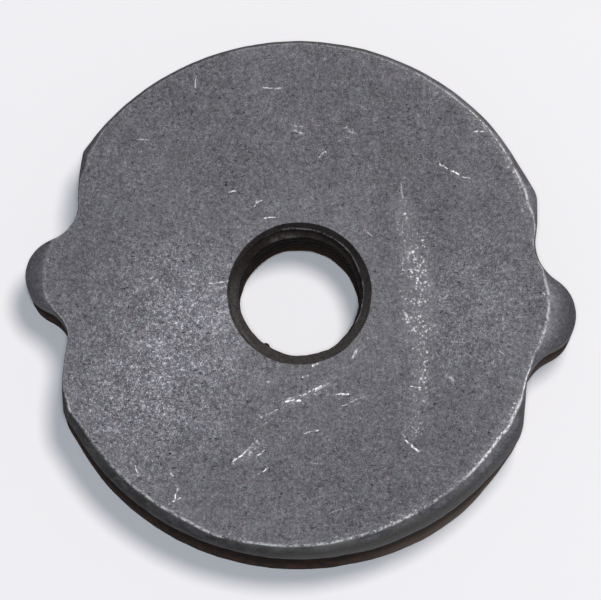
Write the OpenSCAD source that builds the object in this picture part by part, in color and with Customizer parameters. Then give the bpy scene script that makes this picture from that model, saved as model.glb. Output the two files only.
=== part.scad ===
// Round plate nut with two flats, two small ears and a threaded hole.
// The lower face lies on z = 0, the thread's axis is the Z axis, and the ears lie along X.
// The hole is bored to the thread's minor diameter, ready to be tapped.

/* [Plate] */
// Diameter of the round rim
plate_d = 60; // [58.5:0.5:62]
// Thickness of the plate
plate_t = 12; // [8:0.5:16]
// Width across the two flats
flats_w = 52.6; // [51:0.2:54]
// Radius that rounds each corner between a flat and the rim
corner_r = 2.5; // [1:0.25:4]

/* [Ears] */
// Width across the tips of the two ears
ears_w = 63.5; // [61.5:0.25:65]
// Radius of an ear's round tip
ear_r = 4.3; // [3.5:0.1:5]
// Radius of the hollow between an ear and its flat
hollow_r = 5.5; // [3:0.25:6.5]

/* [Sheared edge] */
// How far the rolled upper edge reaches in over the face
roll_w = 0.9; // [0.2:0.1:1.2]
// How far the rolled upper edge reaches down the side
roll_h = 1; // [0.2:0.1:2]
// Height of the straight, burnished land under the rolled edge
land_h = 2.5; // [1:0.25:4]
// How far the broken part of the side slopes in by the lower face
shear_in = 0.2; // [0.05:0.05:0.5]

/* [Threaded hole] */
// Nominal diameter of the thread
thread_d = 16; // [12:1:20]
// Pitch of the thread
thread_pitch = 2; // [1.5:0.25:2.5]
// Width of the chamfer at each mouth of the hole
mouth_chamfer = 1.35; // [0.5:0.05:1.8]

/* [Fineness] */
// Angle between neighbouring points on a curved edge
arc_step = 5; // [3:1:10]
// Steps down the rolled upper edge
roll_steps = 5; // [3:1:8]

/* [Hidden] */

// The outline's arcs meet at these places, in the quarter where x and y are positive.
rim_r = plate_d / 2;
flat_x = flats_w / 2;
ear_x = ears_w / 2 - ear_r;
hollow_x = flat_x + hollow_r;
hollow_y = sqrt(pow(ear_r + hollow_r, 2) - pow(hollow_x - ear_x, 2));
ear_angle = atan2(hollow_y, hollow_x - ear_x);
corner_x = flat_x - corner_r;
corner_y = sqrt(pow(rim_r - corner_r, 2) - pow(corner_x, 2));
corner_angle = atan2(corner_y, corner_x);

// A metric thread is a 60 degree triangle, and the nut's crests stand 5/8 of its height
// in from the nominal diameter.
minor_r = thread_d / 2 - thread_pitch * sqrt(3) / 2 * 5 / 8;

// Cutters run this far past the surface that they cut.
past = 0.4;

// Points on an arc from one angle to another.
function arc(centre, r, from, to) =
    let (steps = ceil(abs(to - from) / arc_step))
    [for (i = [0:steps])
        let (a = from + (to - from) * i / steps)
        centre + r * [cos(a), sin(a)]];

// One quarter of the outline, from the ear's tip to the rim's middle, moved in by the inset.
function quarter(inset) = concat(
    arc([ear_x, 0], ear_r - inset, 0, ear_angle),
    arc([hollow_x, hollow_y], hollow_r + inset, 180 + ear_angle, 180),
    arc([corner_x, corner_y], corner_r - inset, 0, corner_angle),
    arc([0, 0], rim_r - inset, corner_angle, 90)
);

function flipped(points, sx, sy) = [for (p = points) [p.x * sx, p.y * sy]];
function backwards(points) = [for (i = [len(points) - 1:-1:0]) points[i]];

// The points without those that repeat the one before.
function thinned(points) =
    [for (i = [0:len(points) - 1])
        if (norm(points[(i + 1) % len(points)] - points[i]) > 0.001) points[i]];

function outline(inset) =
    let (q = quarter(inset))
    thinned(concat(
        q,
        backwards(flipped(q, -1, 1)),
        flipped(q, -1, -1),
        backwards(flipped(q, 1, -1))
    ));

// Height and inset of each ring up the side: broken slope, straight land, rolled edge.
edge_rings = concat(
    [[0, shear_in], [plate_t - roll_h - land_h, 0]],
    [for (i = [0:roll_steps])
        let (a = 90 * i / roll_steps)
        [plate_t - roll_h * (1 - sin(a)), roll_w * (1 - cos(a))]]
);

// The blank before it is bored: a closed skin through the rings, with a fan over each face.
module blank() {
    rings = [for (e = edge_rings) [for (p = outline(e[1])) [p.x, p.y, e[0]]]];
    n = len(rings[0]);
    last = (len(rings) - 1) * n;
    low_middle = len(rings) * n;
    high_middle = low_middle + 1;
    points = concat([for (r = rings) each r], [[0, 0, 0], [0, 0, plate_t]]);
    sides = [for (k = [0:n:last - n], i = [0:n - 1])
        let (j = (i + 1) % n)
        each [[k + n + j, k + j, k + i], [k + n + i, k + n + j, k + i]]];
    faces = [for (i = [0:n - 1])
        let (j = (i + 1) % n)
        each [[low_middle, i, j], [high_middle, last + j, last + i]]];
    polyhedron(points, concat(sides, faces));
}

// Cone that cuts the chamfer at the hole's lower mouth.
module mouth() {
    translate([0, 0, -past])
        cylinder(r1 = minor_r + mouth_chamfer + past, r2 = minor_r, h = mouth_chamfer + past, $fn = 96);
}

module nut() {
    color("dimgray")
    difference() {
        blank();
        translate([0, 0, -past]) cylinder(r = minor_r, h = plate_t + 2 * past, $fn = 96);
        mouth();
        translate([0, 0, plate_t]) mirror([0, 0, 1]) mouth();
    }
}

nut();
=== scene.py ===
"""Blanked steel plate nut with two ears and a threaded hole, built as a Blender add-on and run as a script.

Lengths in the property groups are in metres. Tables and everything inside the shaders are in millimetres.
"""

import math

import bpy
import numpy as np
from bpy.props import FloatProperty, FloatVectorProperty, IntProperty, PointerProperty
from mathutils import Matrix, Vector, noise


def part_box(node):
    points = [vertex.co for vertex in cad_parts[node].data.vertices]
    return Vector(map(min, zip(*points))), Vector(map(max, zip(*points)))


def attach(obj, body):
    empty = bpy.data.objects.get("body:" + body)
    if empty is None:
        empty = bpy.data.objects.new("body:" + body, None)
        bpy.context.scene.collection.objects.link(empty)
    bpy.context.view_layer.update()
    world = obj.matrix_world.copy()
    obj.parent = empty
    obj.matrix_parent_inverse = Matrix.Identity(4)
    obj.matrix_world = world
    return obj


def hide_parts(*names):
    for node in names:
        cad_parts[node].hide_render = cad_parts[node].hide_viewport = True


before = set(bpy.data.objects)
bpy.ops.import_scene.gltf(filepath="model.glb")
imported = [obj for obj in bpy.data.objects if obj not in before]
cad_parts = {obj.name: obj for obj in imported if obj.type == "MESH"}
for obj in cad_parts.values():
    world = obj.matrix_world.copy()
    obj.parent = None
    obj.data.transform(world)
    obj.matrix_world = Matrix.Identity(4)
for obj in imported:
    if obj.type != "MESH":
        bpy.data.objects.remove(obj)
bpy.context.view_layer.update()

bl_info = {
    "name": "Plate Nut",
    "version": (1, 0, 0),
    "blender": (4, 5, 0),
    "location": "3D View > Sidebar > Plate Nut",
    "description": "Builds a worn steel plate nut with two ears and a threaded hole, and its stage",
    "category": "Object",
}

LOW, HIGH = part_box("nut")
MM = 0.001
TURN = 2 * math.pi

# The blanking die was worn, so each quarter of the plate came out a little different.
# Quarter: (hollow radius, corner radius), starting at +X +Y and going counterclockwise.
QUARTERS = [(4.9, 2.9), (4.6, 0.8), (4.2, 1.2), (6.0, 5.0)]

# The rim and the ears sit a little off centre: x and y of each, and what an ear's radius is over its size.
RIM_CENTRE = (-0.146, -0.328)
RIGHT_EAR = (27.45, -0.22, 0.14)
LEFT_EAR = (-27.5, 0.40, -0.18)

# Places where the rim runs a little inside its circle: angle, width in degrees, depth.
RIM_DIPS = [(36, 8, 0.25), (217, 8, 0.2)]
RIM_RIPPLE = 0.045

# How far the rolled edge reaches in over the face, at an angle in degrees about the hole.
ROLL_REACH = [
    (0, 0.2), (20, 0.2), (23, 0.5), (26, 1.3), (30, 0.95), (35, 0.65), (44, 0.5), (58, 0.55),
    (75, 0.45), (94, 0.35), (120, 0.35), (144, 0.35), (149.5, 0.8), (153.5, 0.65), (156, 0.15),
    (162, 0.08), (192, 0.08), (206, 0.08), (209.5, 0.6), (216, 0.95), (225, 1.15), (240, 1.25),
    (248, 1.25), (255, 0.95), (265, 1.2), (275, 1.3), (285, 1.5), (292, 1.6), (304, 1.75), (318, 1.7),
    (328, 1.85), (333.6, 1.45), (337.9, 0.5), (342, 0.15), (360, 0.2),
]

# The rolled edge bites further into the ears: radius of the worn line there, at an angle about the hole.
EAR_CREASE = [
    (0, 28.6), (3.65, 28.55), (6.7, 28.25), (9.8, 28.1), (13, 30), (30, 40), (150, 40), (168, 30),
    (171.6, 29.1), (177.5, 29.35), (182, 29.3), (185.5, 28.9), (187.9, 28.1), (190, 29), (210, 40),
    (330, 40), (342, 29.5), (344.8, 27.9), (349, 27.75), (353, 28.2), (356.6, 28.45), (360, 28.6),
]

# Height of the burnished land under the rolled edge, at an angle about the hole.
LAND = [
    (0, 3.0), (20, 2.0), (90, 2.0), (160, 2.4), (185, 3.6), (197, 3.2), (204, 0.4), (250, 0.6), (268, 1.3),
    (320, 1.5), (335, 2.0), (345, 2.8), (360, 3.0),
]

# How far the lower edge runs in under the rim, at an angle about the hole. Below 0 it runs out.
LOWER_TAPER = [
    (0, 0.1), (90, 0.15), (180, 0.15), (225, 0), (250, 0), (285, 0), (300, -0.2), (312, -0.2),
    (322, 0.15), (330, 0.3), (342, 0.2), (360, 0.1),
]

# How strongly the worn line round the face is rubbed, at an angle in degrees about the hole.
RUBBED = [
    (0, 0.6), (8, 0.6), (12, 0.4), (21, 0.55), (26, 0.9), (45, 1), (62, 0.8), (72, 0.5), (85, 0.4),
    (110, 0.3), (125, 0.15), (150, 0.3), (156, 0.1), (175, 0.15), (184, 0.4), (190, 0.5), (195, 0.1),
    (207, 0.1), (209, 1), (211, 1), (213, 0.4), (225, 0.35), (240, 0.6), (258, 0.6), (270, 0.4),
    (290, 0.6), (302, 0.8), (312, 0.3), (320, 0.9), (335, 1), (350, 0.8), (360, 0.6),
]

COARSE = 4              # points on the outline for each column of the hole's wall
MOUTH_STEP = 0.4        # how close to the hole's mouth the first ring of the face lies
LINE_STEP = 0.12        # how close to the worn line the last ring of the face lies
ROLL_DROP = (0.35, 0.5)  # drop of the rolled edge where it reaches in 0, and how much more for each 1
ROLL_SLOPES = (16, 78)  # slope of the rolled edge at the worn line and at the side, in degrees
FOOT = 0.1              # width of the small bevel at the foot of the side
FOOT_HEIGHT = 0.12      # its height
FOOT_FACE = 0.5         # distance of the lower face's outermost ring from the rim


class NutPlate(bpy.types.PropertyGroup):
    """Sizes of the blanked plate"""
    rim_radius: FloatProperty(
        name="Rim radius", description="Radius of the round rim",
        default=HIGH.y + 0.07 * MM, unit="LENGTH", precision=5)
    right_flat: FloatProperty(
        name="Right flat", description="Distance from the hole's axis to the right flat",
        default=26.63 * MM, unit="LENGTH", precision=5)
    left_flat: FloatProperty(
        name="Left flat", description="Distance from the hole's axis to the left flat",
        default=26.09 * MM, unit="LENGTH", precision=5)
    ear_radius: FloatProperty(
        name="Ear radius", description="Radius of an ear's round tip",
        default=4.3 * MM, unit="LENGTH", precision=5)
    thickness: FloatProperty(
        name="Thickness", description="Height of the upper face over the lower one",
        default=HIGH.z - LOW.z, unit="LENGTH", precision=5)
    tear_depth: FloatProperty(
        name="Tear depth", description="How rough the broken part of the side is",
        default=0.16 * MM, unit="LENGTH", precision=5)
    points: IntProperty(
        name="Outline points", description="Points along the outline", default=576, min=192, max=768)


class NutThread(bpy.types.PropertyGroup):
    """Sizes of the threaded hole"""
    major_radius: FloatProperty(
        name="Major radius", description="Radius at the bottom of the groove",
        default=8 * MM, unit="LENGTH", precision=5)
    minor_radius: FloatProperty(
        name="Minor radius", description="Radius of the hole at the thread's crests",
        default=6.9175 * MM, unit="LENGTH", precision=5)
    pitch: FloatProperty(
        name="Pitch", description="Rise of the thread in one turn",
        default=2 * MM, unit="LENGTH", precision=5)
    start: FloatProperty(
        name="Start", description="Height at which the groove passes the +X side",
        default=0.5 * MM, unit="LENGTH", precision=5)
    mouth: FloatProperty(
        name="Mouth chamfer", description="Width of the chamfer at each mouth of the hole",
        default=1.35 * MM, unit="LENGTH", precision=5)


class NutSteel(bpy.types.PropertyGroup):
    """Colours of the steel"""
    skin: FloatVectorProperty(
        name="Pickled skin", description="Dark skin on the faces",
        subtype="COLOR", size=3, min=0, max=1, default=(0.105, 0.105, 0.114))
    bare: FloatVectorProperty(
        name="Bare metal", description="Steel where the skin is worn off",
        subtype="COLOR", size=3, min=0, max=1, default=(0.46, 0.46, 0.48))
    land: FloatVectorProperty(
        name="Land", description="Burnished band under the rolled edge",
        subtype="COLOR", size=3, min=0, max=1, default=(0.13, 0.128, 0.125))
    cone: FloatVectorProperty(
        name="Chamfer", description="Chamfer at the hole's mouths",
        subtype="COLOR", size=3, min=0, max=1, default=(0.113, 0.102, 0.103))
    soot: FloatVectorProperty(
        name="Soot", description="Dirt and scale in the hole and on the broken edge",
        subtype="COLOR", size=3, min=0, max=1, default=(0.028, 0.023, 0.021))
    rust: FloatVectorProperty(
        name="Rust", description="Brown tint low in the hole and on the broken edge",
        subtype="COLOR", size=3, min=0, max=1, default=(0.064, 0.034, 0.022))
    # Painted light: the greyer tone the broken edge takes on the front right.
    ash: FloatVectorProperty(
        name="Ash", description="Greyer dirt on the front right of the broken edge",
        subtype="COLOR", size=3, min=0, max=1, default=(0.045, 0.037, 0.031))


class NutStudio(bpy.types.PropertyGroup):
    """Floor, lights and camera"""
    floor: FloatVectorProperty(
        name="Floor", description="Colour of the floor",
        subtype="COLOR", size=3, min=0, max=1, default=(0.865, 0.86, 0.895))
    key_power: FloatProperty(
        name="Key light", description="Power of the main light", default=3.92, unit="POWER")
    fill_power: FloatProperty(
        name="Fill light", description="Power of the overhead light", default=2.72, unit="POWER")
    room: FloatProperty(
        name="Room light", description="Strength of the light from all round", default=0.09)


class Wire:
    """One output of a node tree, on which sums add Math nodes."""

    def __init__(self, tree, socket):
        self.tree = tree
        self.socket = socket

    @staticmethod
    def node(tree, kind, settings=None, inputs=None, out=0):
        """Adds a node: its settings first, then a value or a link for each named or numbered input."""
        new = tree.nodes.new(kind)
        for name, value in (settings or {}).items():
            setattr(new, name, value)
        for key, value in (inputs or {}).items():
            if isinstance(value, Wire):
                tree.links.new(value.socket, new.inputs[key])
            else:
                new.inputs[key].default_value = value
        return Wire(tree, new.outputs[out])

    def math(self, operation, *others, clamp=False):
        inputs = dict(enumerate((self, *others)))
        return Wire.node(self.tree, "ShaderNodeMath", {"operation": operation, "use_clamp": clamp}, inputs)

    def vector(self, operation, *others, out=0, **named):
        inputs = {**dict(enumerate((self, *others))), **named}
        return Wire.node(self.tree, "ShaderNodeVectorMath", {"operation": operation}, inputs, out)

    def __add__(self, other):
        return self.math("ADD", other)

    def __sub__(self, other):
        return self.math("SUBTRACT", other)

    def __mul__(self, other):
        return self.math("MULTIPLY", other)

    def __truediv__(self, other):
        return self.math("DIVIDE", other)

    def __radd__(self, other):
        return self.reflected("ADD", other)

    def __rsub__(self, other):
        return self.reflected("SUBTRACT", other)

    def __rmul__(self, other):
        return self.reflected("MULTIPLY", other)

    def __rtruediv__(self, other):
        return self.reflected("DIVIDE", other)

    def reflected(self, operation, other):
        return Wire.node(self.tree, "ShaderNodeMath", {"operation": operation}, {0: other, 1: self})

    def part(self, axis):
        """The x, y or z of a vector, for axis 0, 1 or 2."""
        return Wire.node(self.tree, "ShaderNodeSeparateXYZ", None, {0: self}, axis)

    def rise(self, low, high):
        """0 below low, 1 above high, with a smooth step between. With low above high it falls instead."""
        return Wire.node(
            self.tree, "ShaderNodeMapRange", {"interpolation_type": "SMOOTHSTEP"},
            {0: self, 1: low, 2: high, 3: 0.0, 4: 1.0})

    def blend(self, start, end):
        """The colour that is start where this is 0 and end where it is 1."""
        colours = [c if isinstance(c, Wire) else (*c, 1) for c in (start, end)]
        settings = {"data_type": "RGBA", "clamp_factor": True}
        return Wire.node(self.tree, "ShaderNodeMix", settings, {0: self, 6: colours[0], 7: colours[1]}, 2)


# ---------------------------------------------------------------- the plate

def arc(centre, radius, start, end, steps=160, hollow=False):
    """Points along an arc, each with the outline's outward direction there."""
    turn = np.linspace(start, end, steps)
    ray = np.stack([np.cos(turn), np.sin(turn)], 1)
    return np.hstack([centre + radius * ray, -ray if hollow else ray])


def quarter(rim, rim_r, ear, ear_r, flat, hollow_r, corner_r):
    """One quarter of the outline, from the ear's tip to the top of the rim, where x and y are positive."""

    def touching(start, centre, reach):
        """The point straight up from start that lies that far from centre."""
        across = centre[0] - start
        return np.array([start, centre[1] + math.sqrt(reach ** 2 - across ** 2)])

    hollow = touching(flat + hollow_r, ear, ear_r + hollow_r)
    corner = touching(flat - corner_r, rim, rim_r - corner_r)
    ear_end = math.atan2(*(hollow - ear)[::-1])
    corner_end = math.atan2(*(corner - rim)[::-1])
    return np.vstack([
        arc(ear, ear_r, 0, ear_end),
        arc(hollow, hollow_r, math.pi + ear_end, math.pi, hollow=True),
        arc(corner, corner_r, 0, corner_end),
        arc(rim, rim_r, corner_end, math.pi / 2, 900),
    ])


def outline(plate):
    """Radius and outward direction of the outline at even angles about the hole, in millimetres."""
    rim, rim_r = np.array(RIM_CENTRE), plate.rim_radius / MM
    ears = {side: (np.array(place), plate.ear_radius / MM + more)
            for side, (*place, more) in ((1, RIGHT_EAR), (-1, LEFT_EAR))}
    flats = {1: plate.right_flat / MM, -1: plate.left_flat / MM}
    parts = []
    for (sx, sy), (hollow_r, corner_r) in zip([(1, 1), (-1, 1), (-1, -1), (1, -1)], QUARTERS):
        way = np.array([sx, sy])
        ear, ear_r = ears[sx]
        part = quarter(rim * way, rim_r, ear * way, ear_r, flats[sx], hollow_r, corner_r)
        part = part * np.tile(way, 2)
        parts.append(part if sx * sy > 0 else part[::-1])
    points = np.vstack(parts)
    turn = np.unwrap(np.arctan2(points[:, 1], points[:, 0]))
    even = np.arange(plate.points) * TURN / plate.points
    order = np.argsort(turn % TURN)
    sample = [np.interp(even, turn[order] % TURN, column[order], period=TURN)
              for column in (np.hypot(points[:, 0], points[:, 1]), points[:, 2], points[:, 3])]
    radius = sample[0]
    for at, width, depth in RIM_DIPS:
        away = (np.degrees(even) - at) / width
        radius = radius - depth * np.exp(-away ** 2)
    ripple = [noise.fractal(Vector((math.cos(a) * 9, math.sin(a) * 9, 4.0)), 0.8, 2.0, 4) for a in even]
    radius = radius + RIM_RIPPLE * np.array(ripple)
    out = np.stack(sample[1:], 1)
    return even, radius, out / np.linalg.norm(out, axis=1)[:, None]


def table(pairs, degrees):
    """A smooth closed curve through a table of angles and values."""
    at, value = np.array(pairs, float).T
    fine = np.interp(degrees, at, value)
    kernel = np.hanning(7)
    return np.convolve(np.tile(fine, 3), kernel / kernel.sum(), "same")[len(fine):2 * len(fine)]


def blank_rings(plate, thread):
    """Rings from the hole's upper mouth out over the edge and back to the lower mouth.

    Each ring is an array of x, y, z, the distance in from the worn line round the face,
    the height of the land's lower end over the point, and how much the line is rubbed.
    """
    turn, rim, out = outline(plate)
    degrees = np.degrees(turn)
    ray = np.stack([np.cos(turn), np.sin(turn)], 1)
    top = plate.thickness / MM
    reach = table(ROLL_REACH, degrees)
    taper = table(LOWER_TAPER, degrees)
    rubbed = table(RUBBED, degrees)
    crease = np.minimum(rim - reach, table(EAR_CREASE, degrees))
    reach = rim - crease
    drop = ROLL_DROP[0] + ROLL_DROP[1] * reach
    mouth = (thread.minor_radius + thread.mouth) / MM + MOUTH_STEP
    land_end = top - drop - table(LAND, degrees)
    land_end = land_end + np.array(
        [0.5 * noise.fractal(Vector((math.cos(a) * 6, math.sin(a) * 6, 9.0)), 0.8, 2.0, 4) for a in turn])
    rings = []

    def add(radius, inset, z, gap):
        radius, inset, z, gap = (np.broadcast_to(value, turn.shape) for value in (radius, inset, z, gap))
        xy = ray * radius[:, None] - out * inset[:, None]
        rings.append(np.column_stack([xy, z, gap, land_end - z, rubbed]))

    for share in (0, 0.06, 0.16, 0.3, 0.45, 0.6, 0.72, 0.82, 0.9, 0.95, 0.98):
        radius = mouth + share * (crease - LINE_STEP - mouth)
        wave = np.array([noise.noise(Vector((*(d * r / 9), 2.0))) for d, r in zip(ray, radius)])
        fade = min(1, share * 4) * min(1, (1 - share) * 12)
        add(radius, 0, top + 0.03 * wave * fade, crease - radius)
    add(crease - LINE_STEP, 0, top, LINE_STEP)
    add(crease, 0, top, 0)
    slope_0, slope_1 = (math.radians(slope) for slope in ROLL_SLOPES)
    length = np.hypot(reach, drop)
    for share in np.linspace(0, 1, 11)[1:]:
        slope = slope_0 + share * (slope_1 - slope_0)
        over = (math.sin(slope) - math.sin(slope_0)) / (math.sin(slope_1) - math.sin(slope_0))
        down = (math.cos(slope_0) - math.cos(slope)) / (math.cos(slope_0) - math.cos(slope_1))
        add(crease + reach * over, 0, top - drop * down, -length * share)
    for share in (0.12, 0.5, 0.85, 1):
        z = (top - drop) + share * (land_end - top + drop)
        add(rim, 0, z, -length - 1)
    for share in np.linspace(0, 1, 25)[1:]:
        z = land_end * (1 - share) + FOOT_HEIGHT * share
        add(rim, taper * share, z, -length - 2)
    inner = rim - FOOT_FACE
    add(rim, taper + FOOT, 0, 0)
    add(inner, taper + FOOT, 0, FOOT_FACE)
    for share in (0.1, 0.25, 0.4, 0.55, 0.7, 0.85, 1):
        radius = inner + share * (mouth - inner)
        wave = np.array([noise.noise(Vector((*(d * r / 9), 7.0))) for d, r in zip(ray, radius)])
        z = 0.02 * abs(wave) * min(1, (1 - share) * 4)
        add(radius, (taper + FOOT) * (1 - share), z, rim - radius)
    return rings


def blank_mesh(plate, thread):
    """The plate's skin, open at the hole's two mouths, each a coarse ring for the hole's wall to join."""
    rings = blank_rings(plate, thread)
    count = plate.points
    columns = count // COARSE
    mouth = (thread.minor_radius + thread.mouth) / MM
    turn = np.arange(columns) * TURN / columns
    circle = np.stack([mouth * np.cos(turn), mouth * np.sin(turn)], 1)
    far_from_rim, above_tear, unworn = 9.0, -9.0, 0.0
    ends = [np.hstack([circle, np.tile([z, far_from_rim, above_tear, unworn], (columns, 1))])
            for z in (plate.thickness / MM, 0)]
    rows = np.vstack([*rings, *ends])
    faces = []
    for k in range(len(rings) - 1):
        for i in range(count):
            j = (i + 1) % count
            faces.append((k * count + i, (k + 1) * count + i, (k + 1) * count + j, k * count + j))
    upper, lower = len(rings) * count, len(rings) * count + columns
    for fine, coarse, above in ((0, upper, True), ((len(rings) - 1) * count, lower, False)):
        for c in range(columns):
            here, there = coarse + c, coarse + (c + 1) % columns
            f = [fine + (c * COARSE + s) % count for s in range(COARSE + 1)]
            fan = [(here, f[0], f[1]), (here, f[1], f[2]), (here, f[2], there),
                   (there, f[2], f[3]), (there, f[3], f[4])]
            faces += fan if above else [t[::-1] for t in fan]
    mesh = bpy.data.meshes.new("plate_nut")
    mesh.from_pydata((rows[:, :3] * MM).tolist(), [], faces)
    for name, column in (("rim_gap", 3), ("tear", 4), ("worn", 5)):
        values = mesh.attributes.new(name, "FLOAT", "POINT").data
        values.foreach_set("value", rows[:, column].astype(np.float32))
    mesh.update()
    return mesh


THREAD_INPUTS = [
    "Thickness", "Major radius", "Minor radius", "Mouth radius", "Pitch", "Start", "Tear depth"]


def thread_tree(columns, steel):
    """Geometry nodes that wind the thread up the hole's wall, join it to the plate and tear its edge."""
    tree = bpy.data.node_groups.new("threaded_hole", "GeometryNodeTree")
    face = tree.interface
    face.new_socket("Plate", in_out="INPUT", socket_type="NodeSocketGeometry")
    for name in THREAD_INPUTS:
        face.new_socket(name, in_out="INPUT", socket_type="NodeSocketFloat")
    face.new_socket("Nut", in_out="OUTPUT", socket_type="NodeSocketGeometry")
    entry = tree.nodes.new("NodeGroupInput")
    size = {name: Wire(tree, entry.outputs[name]) for name in THREAD_INPUTS}
    top, pitch = size["Thickness"], size["Pitch"]
    steps = 32                                              # rows in one pitch
    pitches = 7                                             # the wall's height and one pitch more
    grid = Wire.node(tree, "GeometryNodeMeshGrid", None, {
        "Size X": 1.0, "Size Y": 1.0, "Vertices X": columns + 1, "Vertices Y": steps * pitches + 1})
    place = Wire.node(tree, "GeometryNodeInputPosition")
    split = place.vector("ADD", (0.5, 0.5, 0.0))
    across, along = split.part(0), split.part(1)
    # A row of the grid climbs one pitch in its turn round the hole, so each row follows the thread.
    unrolled = along * (pitch * pitches) - pitch
    height = (unrolled + across * pitch).math("MAXIMUM", 0.0).math("MINIMUM", top)
    cycle = (unrolled - size["Start"]) / pitch
    offset = (cycle - cycle.math("ROUND")).math("ABSOLUTE") * pitch
    depth = (offset - pitch / 16) * math.sqrt(3)
    profile = (size["Major radius"] - depth.math("MAXIMUM", 0.0)).math("MAXIMUM", size["Minor radius"])
    cone = size["Mouth radius"] - height.math("MINIMUM", top - height)
    radius = profile.math("MAXIMUM", cone)
    # A tooth of metal is left standing where the topmost crest runs out.
    aside = (across * 360 - 241).math("ABSOLUTE")
    above = ((height - top) / MM + 1.35).math("ABSOLUTE")
    radius = radius - aside.rise(4.0, 1.0) * above.rise(0.5, 0.0) * 0.25 * MM
    angle = across * TURN
    point = Wire.node(tree, "ShaderNodeCombineXYZ", None, {
        0: radius * angle.math("COSINE"), 1: radius * angle.math("SINE"), 2: height})
    # The burr is where the groove runs into the chamfer.
    burr = ((profile - cone).math("ABSOLUTE") / MM).rise(0.6, 0.1)
    burr = burr * (profile - size["Minor radius"]).rise(0.0, 0.1 * MM)
    chamfered = ((cone - profile) / MM).rise(-0.03, 0.03)
    for name, value in (("burr", burr), ("chamfered", chamfered)):
        settings = {"data_type": "FLOAT", "domain": "POINT"}
        inputs = {"Geometry": grid, "Name": name, "Value": value}
        grid = Wire.node(tree, "GeometryNodeStoreNamedAttribute", settings, inputs)
    wall = Wire.node(tree, "GeometryNodeSetPosition", None, {"Geometry": grid, "Position": point})
    wall = Wire.node(tree, "GeometryNodeFlipFaces", None, {"Mesh": wall})
    # The broken edge is torn in and out in streaks that run down the side.
    tear = Wire.node(tree, "GeometryNodeInputNamedAttribute", {"data_type": "FLOAT"}, {"Name": "tear"})
    streak = place.vector("MULTIPLY", (1.0, 1.0, 0.35))
    coarse = Wire.node(tree, "ShaderNodeTexNoise", None, {
        "Vector": streak, "Scale": 900.0, "Detail": 3.0, "Roughness": 0.6})
    torn = tear.rise(0.0, 0.7) * place.part(2).rise(0.0, 0.4 * MM)
    lift = (coarse - 0.55) * size["Tear depth"] * torn
    facing = Wire.node(tree, "GeometryNodeInputNormal").vector("MULTIPLY", (1.0, 1.0, 0.0))
    plate = Wire.node(tree, "GeometryNodeSetPosition", None, {
        "Geometry": Wire(tree, entry.outputs["Plate"]), "Offset": facing.vector("SCALE", Scale=lift)})
    joined = tree.nodes.new("GeometryNodeJoinGeometry")
    tree.links.new(plate.socket, joined.inputs[0])
    tree.links.new(wall.socket, joined.inputs[0])
    whole = Wire.node(tree, "GeometryNodeMergeByDistance", None, {
        "Geometry": Wire(tree, joined.outputs[0]), "Distance": 0.002 * MM})
    # The mouths of the hole are not quite round.
    level = place.vector("MULTIPLY", (1.0, 1.0, 0.0))
    wobble = Wire.node(tree, "ShaderNodeTexNoise", None, {
        "Vector": place, "Scale": 420.0, "Detail": 2.0, "Roughness": 0.5})
    near = level.vector("LENGTH", out=1).rise(9.4 * MM, 8.4 * MM)
    ragged = level.vector("NORMALIZE").vector("SCALE", Scale=(wobble - 0.5) * near * 0.36 * MM)
    whole = Wire.node(tree, "GeometryNodeSetPosition", None, {"Geometry": whole, "Offset": ragged})
    real = Wire.node(tree, "GeometryNodeRealizeInstances", None, {0: whole})
    done = Wire.node(tree, "GeometryNodeSetMaterial", None, {"Geometry": real, "Material": steel})
    leave = tree.nodes.new("NodeGroupOutput")
    tree.links.new(done.socket, leave.inputs[0])
    return tree


# ---------------------------------------------------------------- the steel

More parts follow.
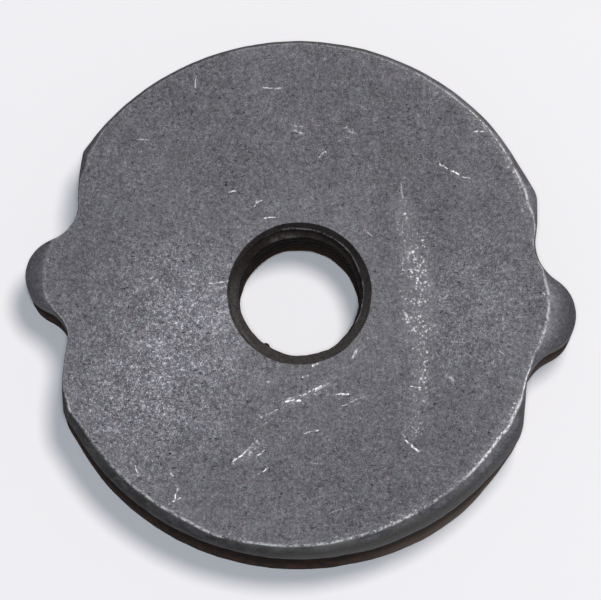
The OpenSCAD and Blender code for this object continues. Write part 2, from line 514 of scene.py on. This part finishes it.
# Scratches on the upper face, down to bright metal: start x y, end x y, width and strength.
SCRATCHES = [
    (-4.66, 8.43, -3.41, 8.69, 0.13, 0.95), (-10.31, 0.45, -8.16, 0.89, 0.17, 0.8),
    (-10.04, -0.18, -8.45, 0.17, 0.11, 0.4), (-5.59, 10.17, -5.04, 10.56, 0.12, 0.6),
    (2.14, -8.31, 2.69, -7.92, 0.16, 0.95), (1.09, -9.73, 1.65, -9.45, 0.16, 0.85),
    (2.33, -10.98, 3.22, -10.51, 0.15, 0.85), (6.66, -7.06, 7.05, -6.10, 0.24, 0.6),
    (-3.09, -10.66, -2.54, -10.39, 0.13, 0.6), (-6.07, -19.91, -4.94, -18.73, 0.15, 1),
    (-4.94, -18.73, -3.65, -17.47, 0.24, 0.5), (-3.53, -19.15, -2.73, -18.40, 0.15, 0.9),
    (-2.83, -20.97, -2.18, -20.40, 0.13, 0.9), (-3.60, -21.55, -2.84, -20.91, 0.21, 0.4),
    (-17.19, -21.22, -16.88, -22.36, 0.11, 0.75), (-13.26, -21.53, -12.87, -22.08, 0.23, 0.5),
    (-12.55, -24.98, -12.25, -23.56, 0.12, 0.85), (-12.62, -24.87, -11.89, -24.58, 0.14, 0.7),
    (-0.65, -12.71, 0.93, -12.36, 0.19, 0.95), (1.66, -16.11, 3.23, -15.59, 0.11, 0.7),
    (2.70, -19.59, 3.38, -19.43, 0.11, 0.5), (-2.61, -14.36, -0.51, -13.05, 0.11, 0.4),
    (-0.45, -12.34, 2.23, -11.22, 0.14, 0.65), (1.13, -11.88, 4.01, -10.28, 0.12, 0.55),
    (-4.10, -16.04, -2.55, -15.18, 0.11, 0.35), (-2.06, 18.94, -0.78, 18.68, 0.24, 0.55),
    (-1.87, 19.53, -0.96, 19.66, 0.14, 0.4), (-5.84, 23.69, -3.78, 23.84, 0.11, 0.6),
    (-8.87, 11.17, -7.98, 11.52, 0.13, 0.85), (-9.75, 10.52, -9.19, 10.79, 0.12, 0.6),
    (-5.85, 9.86, -5.50, 10.53, 0.12, 0.8), (1.13, 16.07, 1.89, 16.76, 0.15, 0.65),
    (-13.72, 24.54, -13.63, 23.26, 0.11, 0.6), (-19.95, 16.64, -18.46, 16.68, 0.11, 0.5),
    (15.14, 16.23, 15.98, 15.76, 0.14, 0.8), (16.46, 15.51, 17.40, 15.16, 0.15, 0.95),
    (17.64, 15.06, 18.69, 14.79, 0.11, 0.6), (18.76, 20.39, 20.14, 20.37, 0.11, 0.8),
    (10.73, 13.53, 11.07, 12.04, 0.15, 0.45), (13.38, -16.16, 13.99, -16.64, 0.16, 0.9),
    (14.00, -16.70, 14.84, -17.29, 0.19, 1), (12.63, -15.28, 13.25, -15.82, 0.11, 0.6),
    (11.99, -1.20, 12.88, -2.43, 0.23, 0.55), (14.40, -9.32, 14.99, -7.88, 0.24, 0.6),
    (13.52, -9.85, 14.56, -10.01, 0.14, 0.8), (5.56, -12.74, 6.90, -12.18, 0.10, 0.5),
    (6.90, -12.18, 8.11, -11.40, 0.10, 0.5), (5.00, -11.38, 6.38, -11.28, 0.16, 0.85),
    (14.35, -15.16, 15.06, -13.83, 0.13, 0.5), (3.86, 19.82, 5.06, 19.09, 0.30, 0.35),
    (17.56, -8.40, 18.16, -8.83, 0.24, 0.4), (3.17, 18.14, 4.73, 18.83, 0.10, 0.3),
    (-17.04, -1.95, -16.91, -5.44, 0.09, 0.3), (23.18, -4.97, 24.03, -5.61, 0.11, 0.35),
    (16.14, 0.37, 16.91, 0.89, 0.11, 0.35), (5.28, -25.13, 7.74, -24.14, 0.10, 0.3),
    (-10.38, -6.74, -9.18, -5.84, 0.11, 0.4), (6.99, 7.90, 7.84, 7.26, 0.11, 0.35),
]

# Patches scuffed to a cluster of bright specks, given in the same way.
SCUFFS = [
    (11.2, 11.3, 12.1, 5.3, 2.4, 0.7), (12.7, 6.5, 14.2, -3.5, 3.6, 0.85),
    (12.2, 0.2, 12.6, -2.6, 1.4, 0.8), (14.4, -3.8, 14.5, -11.4, 2.4, 0.75),
    (14.5, -11.4, 14.2, -15.2, 1.8, 0.55),
    (-9.6, -0.5, -9.2, -5.8, 2.5, 0.45), (-3.3, -14.8, 4.2, -10.0, 1.6, 0.6),
    (-5.9, -20.1, -3.1, -17.5, 1.2, 0.6), (-17.4, -21.6, -12.0, -24.6, 1.6, 0.3),
    (11.6, -25.9, 16.6, -23.3, 0.9, 0.5), (24.8, -12.1, 22.0, -17.5, 1.2, 0.45),
    (26.6, -6.5, 25.6, -10.6, 1.2, 0.45), (28.0, 3.0, 28.5, -2.3, 1.0, 0.5),
    (-2.5, 20.3, -0.7, 18.1, 1.3, 0.35), (4.4, 19.6, 5.2, 19.0, 1.2, 0.3),
    (1.1, -14.1, -0.6, -15.4, 1.8, 0.35), (7.2, -3.8, 10.2, -5.3, 1.5, 0.3),
]


def rub(where, start, end, width):
    """1 on a straight mark from start to end, falling to 0 at its width."""
    start, end = Vector((*start, 0)), Vector((*end, 0))
    run = end - start
    from_start = where.vector("SUBTRACT", tuple(start))
    share = from_start.vector("DOT_PRODUCT", tuple(run / run.length_squared), out=1)
    share = share.math("MAXIMUM", 0.0).math("MINIMUM", 1.0)
    nearest = Wire.node(
        where.tree, "ShaderNodeVectorMath", {"operation": "SCALE"}, {0: tuple(run), "Scale": share})
    gap = from_start.vector("SUBTRACT", nearest).vector("LENGTH", out=1)
    return gap.rise(width, 0.0)


def steel_material(steel):
    """Pickled, worn steel: mottled faces, smooth rolled edge, bright rubs, sooty hole and broken side, with
    painted light and shade on the face, the rolled edge, the broken side, the chamfer and the burr.
    """
    material = bpy.data.materials.new("worn_steel")
    material.use_nodes = True
    tree = material.node_tree
    tree.nodes.clear()

    def grain(where, scale, detail=3.0, rough=0.6, seed=0.0):
        return Wire.node(tree, "ShaderNodeTexNoise", {"noise_dimensions": "4D"}, {
            "Vector": where, "W": seed, "Scale": scale, "Detail": detail, "Roughness": rough})

    def attribute(name):
        return Wire.node(tree, "ShaderNodeAttribute", {"attribute_name": name}, None, 2)

    here = Wire.node(tree, "ShaderNodeTexCoord", None, None, 3).vector("SCALE", Scale=1 / MM)
    x, y, z = (here.part(axis) for axis in range(3))
    flat = here.vector("MULTIPLY", (1.0, 1.0, 0.0))
    radius = flat.vector("LENGTH", out=1)
    gap, tear, burr = attribute("rim_gap"), attribute("tear"), attribute("burr")

    in_hole = radius.rise(8.34, 8.24)
    plate = 1 - in_hole
    face = gap.rise(-0.03, 0.05) * plate
    ragged = tear + (grain(here, 0.9, seed=3.0) - 0.5) * 0.8
    broken = ragged.rise(-0.1, 0.15) * z.rise(0.0, 0.1) * plate
    land = tear.rise(-2.6, -2.2) * (1 - broken) * (1 - face) * plate

    # Mottle of the pickled skin, with dark flecks. Painted light makes the left and right of the face
    # paler, where the grain is also stronger; painted shade darkens the front right, and the face is
    # lighter near the hole.
    fine = grain(here, 2.4, 5.0, 0.8)
    grit = grain(here, 6.5, 1.0, 0.5, 2.0)
    slant = Wire.node(tree, "ShaderNodeMapping", None, {
        "Vector": here, "Rotation": (0, 0, math.radians(35)), "Scale": (1.0, 2.2, 1.0)})
    fleck = grain(slant, 1.9, 2.0, 0.6, 5.0).rise(0.42, 0.30)
    cloud = grain(here, 0.11, 3.0, 0.6, 7.0)
    # Painted light on the left and right of the face, which also makes the grain and the flecks stronger
    # there.
    pale = rub(flat, (-12.5, -3.5), (-16.5, -12.5), 14.5) * 0.36
    pale = pale + rub(flat, (21.0, 2.0), (20.0, -3.0), 9.0) * 0.14
    speckle = (fine - 0.5) * 5.0 + (grit - 0.5) * 2.6 + (grain(here, 0.7, 3.0, 0.6, 8.0) - 0.5) * 1.1
    # Painted shade on the front right of the face.
    dim = rub(flat, (17.0, -17.0), (10.0, -22.0), 12.0) * 0.12
    tone = (speckle * (0.85 + pale * 2.7)).math("EXPONENT") + (cloud - 0.5) * 0.4
    tone = tone + pale - dim - fleck * (0.45 + pale * 0.9) + 0.02 + radius.rise(18.0, 6.0) * 0.13

    # The rolled edge is smoother. Painted light makes it paler on the ears, towards the right and at the
    # back, and painted shade darkens it in mottled patches on the front left.
    # Painted light on the left ear, palest near the worn line.
    ears = x.rise(-27.2, -28.2) * (0.5 + gap.rise(-4.2, -0.5) * 0.5) * 0.7
    # Painted light on the right of the rolled edge and on the right ear.
    lit = x.rise(15.0, 24.0) * y.rise(12.0, 4.0)
    lit = lit * (0.05 + gap.rise(-3.6, -0.4) * 0.95) * (0.28 + x.rise(26.0, 28.5) * 0.38)
    # Painted shade in mottled patches on the front left.
    dented = grain(here.vector("MULTIPLY", (1.0, 1.0, 2.0)), 0.5, 4.0, 0.7, 21.0).rise(0.62, 0.40)
    dents = dented * 0.28 * y.rise(0.0, -12.0)
    streaked = grain(here, 0.5, 4.0, 0.7, 23.0).rise(0.46, 0.60)
    streaks = gap.rise(-0.3, -0.5) * gap.rise(-1.0, -0.7) * streaked * y.rise(0.0, -10.0)
    # Painted light at the back.
    back = y.rise(6.0, 14.0) * (0.5 + x.rise(0.0, 15.0) * 0.7)
    # Painted light grows towards the right, and the painted shade is taken off on the front left.
    calm = 0.55 + x.rise(5.0, 27.0) * 0.42 + ears + lit + back - dents * x.rise(12.0, 2.0) + streaks * 0.4
    calm = calm * (speckle * 0.5).math("EXPONENT")
    tone = (face * tone + (1 - face) * calm).math("MAXIMUM", 0.12)
    # Grains of the skin are a little warmer or cooler than its colour.
    tint = grain(here, 2.2, 3.0, 0.7, 15.0).rise(0.34, 0.66)
    hue = tint.blend((0.99, 0.94, 0.96), (0.98, 1.03, 1.08))
    colour = hue.vector("MULTIPLY", tuple(steel.skin)).vector("SCALE", Scale=tone)
    colour = (land * 0.6 * (0.35 + x.rise(-8.0, 6.0) * 0.65)).blend(colour, tuple(steel.land))

    # The broken side is dark with streaks of rust. Painted light makes it paler towards its foot, and paler
    # and greyer on the front right, like the soft shadow on the floor beside it.
    downward = here.vector("MULTIPLY", (1.0, 1.0, 0.28))
    dirt = grain(downward, 1.1, seed=9.0).rise(0.42, 0.74)
    torn = dirt.blend(tuple(steel.soot), tuple(steel.rust))
    # Painted light on the front right of the broken side.
    front_right = x.rise(3.0, 17.0) * y.rise(0.0, -8.0)
    # Painted light, paler towards the foot and more so on the front right.
    paling = 0.85 + z.rise(9.0, 0.0) * 1.35 + front_right * (0.6 + z.rise(9.0, 0.0) * 1.4)
    ashen = (front_right * 0.85).blend(torn, tuple(steel.ash))
    colour = broken.blend(colour, ashen.vector("SCALE", Scale=paling))

    # The hole is sooty above and brown below. Its chamfer keeps its own colour in front and is darker at
    # the back, which is painted shade.
    wall = z.rise(6.0, 0.5).blend(tuple(steel.soot), tuple(steel.rust))
    # Painted shade on the back half of the chamfer.
    chamfer = y.rise(-7.0, 7.0).blend(tuple(steel.cone), tuple(Vector(steel.cone) * 0.36))
    lip = attribute("chamfered").math("MAXIMUM", y.rise(4.0, 0.0))
    lip = lip * z.rise(10.4, 10.7) * radius.rise(6.85, 7.0)
    wall = lip.blend(wall, chamfer)
    wall = wall.vector("SCALE", Scale=1 + speckle * 0.5)
    colour = in_hole.blend(colour, wall)

    # Rubbed places, where bright metal shows, and a painted highlight on the burr at the hole's mouth.
    breaks = grain(here, 0.55, 4.0, 0.85, 11.0)
    worn = attribute("worn")
    dust = grain(here, 3.4, 2.0, 0.55, 13.0)
    upper = z.rise(6.0, 7.0)
    line = gap.math("ABSOLUTE").rise(0.24, 0.02) * (breaks * 0.5 + dust * 0.5).rise(0.60, 0.43)
    line = line * worn * upper
    scuffed = gap.rise(1.8, 0.1) * worn * 0.75
    for x1, y1, x2, y2, width, strength in SCUFFS:
        scuffed = scuffed.math("MAXIMUM", rub(flat, (x1, y1), (x2, y2), width) * strength)
    chips = dust * 0.5 + fine * 0.5
    clumps = grain(here, 0.8, 2.0, 0.5, 25.0).rise(0.35, 0.58) * 0.55 + 0.55
    specks = (chips - (0.610 - scuffed * clumps * 0.13)).rise(0.0, 0.11) * (0.35 + scuffed * 0.5)
    specks = specks + scuffed.rise(0.1, 1.0) * 0.08
    shake = Wire.node(tree, "ShaderNodeTexNoise", None, {"Vector": here, "Scale": 0.9, "Detail": 3.0}, 1)
    shake = shake.vector("SUBTRACT", (0.5, 0.5, 0.5)).vector("MULTIPLY", (0.7, 0.7, 0.0))
    shaken = flat.vector("ADD", shake)
    scratch = 0.0
    for x1, y1, x2, y2, width, strength in SCRATCHES:
        mark = rub(shaken, (x1, y1), (x2, y2), width) * strength
        scratch = mark.math("MAXIMUM", scratch)
    scratch = scratch * (0.15 + dust.rise(0.38, 0.60) * 1.1)
    bright = specks.math("MAXIMUM", scratch) * face * upper
    # Painted highlight on the burr at the hole's upper mouth, only on its back right half.
    along = here.vector("DOT_PRODUCT", (0.77, 0.64, 0.0), out=1)
    rag = burr * in_hole * z.rise(9.0, 10.0) * along.rise(0.0, 3.0) * breaks.rise(0.40, 0.55)
    bright = bright.math("MAXIMUM", line * plate).math("MAXIMUM", rag * 0.5, clamp=True)
    colour = bright.blend(colour, tuple(steel.bare))

    roughness = 0.62 + (fine - 0.5) * 0.3 * face - land * 0.12 + broken * 0.2 + in_hole * 0.1 - bright * 0.1
    metallic = 0.62 + bright * 0.38 + in_hole * 0.1 + broken * 0.3 - rag * 0.5
    height = (fine - fleck * 0.3) * face * 0.04 + in_hole * fine * 0.04
    height = height + broken * grain(downward, 3.0, 4.0, 0.7) * 0.25
    bump = Wire.node(tree, "ShaderNodeBump", None, {"Strength": 0.5, "Distance": MM, "Height": height})
    shader = Wire.node(tree, "ShaderNodeBsdfPrincipled", None, {
        "Base Color": colour, "Metallic": metallic, "Roughness": roughness, "Normal": bump,
        "Specular IOR Level": 0.2, "Specular Tint": (0.3, 0.3, 0.3, 1.0)})
    out = tree.nodes.new("ShaderNodeOutputMaterial")
    tree.links.new(shader.socket, out.inputs["Surface"])
    return material


class NUT_OT_plate(bpy.types.Operator):
    """Builds the nut: the blanked plate with its rolled, sheared edge and the threaded hole"""
    bl_idname = "nut.plate"
    bl_label = "Build Nut"

    def execute(self, context):
        plate, thread = context.scene.nut_plate, context.scene.nut_thread
        steel = steel_material(context.scene.nut_steel)
        if plate.points % COARSE:
            raise RuntimeError(f"the outline's points have to be a multiple of {COARSE}")
        blank = bpy.data.objects.new("blank", blank_mesh(plate, thread))
        context.collection.objects.link(blank)
        tree = thread_tree(plate.points // COARSE, steel)
        modifier = blank.modifiers.new("thread", "NODES")
        modifier.node_group = tree
        values = [plate.thickness, thread.major_radius, thread.minor_radius,
                  thread.minor_radius + thread.mouth, thread.pitch, thread.start, plate.tear_depth]
        sockets = {s.name: s.identifier for s in tree.interface.items_tree if s.in_out == "INPUT"}
        for name, value in zip(THREAD_INPUTS, values):
            modifier[sockets[name]] = value
        graph = context.evaluated_depsgraph_get()
        mesh = bpy.data.meshes.new_from_object(blank.evaluated_get(graph))
        blank.modifiers.remove(modifier)
        bpy.data.objects.remove(blank)
        mesh.name = "plate_nut"
        mesh.shade_smooth()
        mesh.set_sharp_from_angle(angle=math.radians(28))
        nut = bpy.data.objects.new("plate_nut", mesh)
        context.collection.objects.link(nut)
        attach(nut, "root")
        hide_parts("nut")
        return {"FINISHED"}


# ---------------------------------------------------------------- the stage

CAMERA_AZIMUTH = 4          # degrees
CAMERA_ELEVATION = 80       # degrees
CAMERA_DISTANCE = 0.573
CAMERA_LENS = 299.5         # millimetres
AIM_RIGHT, AIM_DOWN = 0.13 * MM, 0.77 * MM      # where the camera aims, off the middle of the upper face

# Name: degrees from the zenith, degrees round from the right, distance, width and colour.
LIGHTS = {
    "key_light": (13, 45, 0.8, 0.18, (1.0, 0.937, 0.881)),
    "fill_light": (9, -90, 0.8, 0.09, (0.86, 0.935, 1.0)),
}


class NUT_OT_stage(bpy.types.Operator):
    """Sets up the floor, the lights and the camera"""
    bl_idname = "nut.stage"
    bl_label = "Build Stage"

    def execute(self, context):
        studio = context.scene.nut_studio
        scene = context.scene
        half = 3.0
        corners = [(-half, -half, LOW.z), (half, -half, LOW.z), (half, half, LOW.z), (-half, half, LOW.z)]
        mesh = bpy.data.meshes.new("floor")
        mesh.from_pydata(corners, [], [(0, 1, 2, 3)])
        floor = bpy.data.objects.new("floor", mesh)
        context.collection.objects.link(floor)
        paper = bpy.data.materials.new("paper")
        paper.use_nodes = True
        shader = paper.node_tree.nodes["Principled BSDF"]
        shader.inputs["Base Color"].default_value = (*studio.floor, 1)
        shader.inputs["Roughness"].default_value = 0.9
        shader.inputs["Specular IOR Level"].default_value = 0.2
        mesh.materials.append(paper)

        world = bpy.data.worlds.new("room")
        world.use_nodes = True
        world.node_tree.nodes["Background"].inputs["Color"].default_value = (1, 1, 1, 1)
        world.node_tree.nodes["Background"].inputs["Strength"].default_value = studio.room
        scene.world = world

        facing = math.radians(CAMERA_AZIMUTH)
        right = Vector((math.cos(facing), math.sin(facing), 0))
        away = Vector((-math.sin(facing), math.cos(facing), 0))
        target = Vector((0, 0, HIGH.z))

        for name, power in (("key_light", studio.key_power), ("fill_light", studio.fill_power)):
            zenith, sideways, distance, size, colour = LIGHTS[name]
            tilt, side = math.radians(zenith), math.radians(sideways)
            across = right * math.cos(side) + away * math.sin(side)
            direction = across * math.sin(tilt) + Vector((0, 0, 1)) * math.cos(tilt)
            lamp = bpy.data.lights.new(name, "AREA")
            lamp.shape = "DISK"
            lamp.size = size
            lamp.energy = power
            lamp.color = colour
            holder = bpy.data.objects.new(name, lamp)
            holder.location = target + direction * distance
            holder.rotation_euler = direction.to_track_quat("Z", "Y").to_euler()
            holder.visible_camera = False
            context.collection.objects.link(holder)

        camera = bpy.data.cameras.new("camera")
        camera.lens = CAMERA_LENS
        camera.sensor_width = 36
        camera.clip_start = 0.01
        rise = math.radians(CAMERA_ELEVATION)
        back = -away * math.cos(rise) + Vector((0, 0, 1)) * math.sin(rise)
        aim = target + right * AIM_RIGHT - away * AIM_DOWN
        holder = bpy.data.objects.new("camera", camera)
        holder.location = aim + back * CAMERA_DISTANCE
        holder.rotation_euler = back.to_track_quat("Z", "Y").to_euler()
        context.collection.objects.link(holder)
        scene.camera = holder
        scene.view_settings.view_transform = "Standard"
        return {"FINISHED"}


class NUT_PT_panel(bpy.types.Panel):
    """Lists the sizes and the steps"""
    bl_idname = "NUT_PT_panel"
    bl_label = "Plate Nut"
    bl_space_type = "VIEW_3D"
    bl_region_type = "UI"
    bl_category = "Plate Nut"

    def draw(self, context):
        for group in (context.scene.nut_plate, context.scene.nut_thread, context.scene.nut_steel,
                      context.scene.nut_studio):
            box = self.layout.box()
            for name in group.__annotations__:
                box.prop(group, name)
        for step in STEPS:
            self.layout.operator(step.bl_idname)


STEPS = (NUT_OT_plate, NUT_OT_stage)
GROUPS = {"nut_plate": NutPlate, "nut_thread": NutThread, "nut_steel": NutSteel, "nut_studio": NutStudio}


def register():
    for group in GROUPS.values():
        bpy.utils.register_class(group)
    for step in STEPS:
        bpy.utils.register_class(step)
    bpy.utils.register_class(NUT_PT_panel)
    for name, group in GROUPS.items():
        setattr(bpy.types.Scene, name, PointerProperty(type=group))


def unregister():
    for name in GROUPS:
        delattr(bpy.types.Scene, name)
    bpy.utils.unregister_class(NUT_PT_panel)
    for item in (*STEPS, *GROUPS.values()):
        bpy.utils.unregister_class(item)


def main():
    register()
    bpy.ops.nut.plate()
    bpy.ops.nut.stage()


if __name__ == "__main__":
    main()
